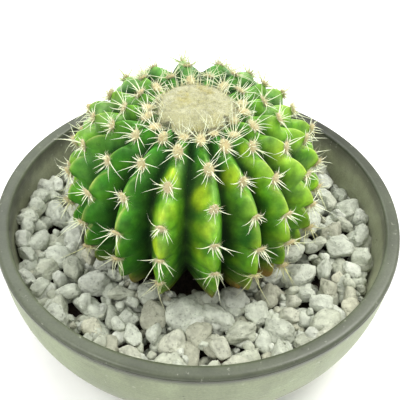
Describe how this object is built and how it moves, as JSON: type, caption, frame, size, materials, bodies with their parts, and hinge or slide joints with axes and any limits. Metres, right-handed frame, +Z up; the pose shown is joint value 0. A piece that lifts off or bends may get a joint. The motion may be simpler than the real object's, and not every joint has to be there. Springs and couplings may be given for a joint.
{
  "type": "potted cactus",
  "caption": "Ribbed barrel cactus with a woolly crown and star-shaped spine clusters, growing in a shallow round stoneware bowl dressed with pale pumice gravel.",
  "frame": {"origin": "middle of the bowl's foot, on the surface that it stands on", "axes": "+Z up through the middle of the bowl, -Y towards the side that the picture was taken from"},
  "size_m": [0.1448, 0.145, 0.0946],
  "materials": {
    "stoneware": "matte",
    "potting_soil": "matte",
    "pumice": "matte",
    "cactus_skin": "satin",
    "wool": "matte"
  },
  "bodies": {
    "root": {"bowl": "stoneware", "soil": "potting_soil", "gravel": "pumice", "cactus": "cactus_skin", "crown_wool": "wool"}
  },
  "joints": []
}
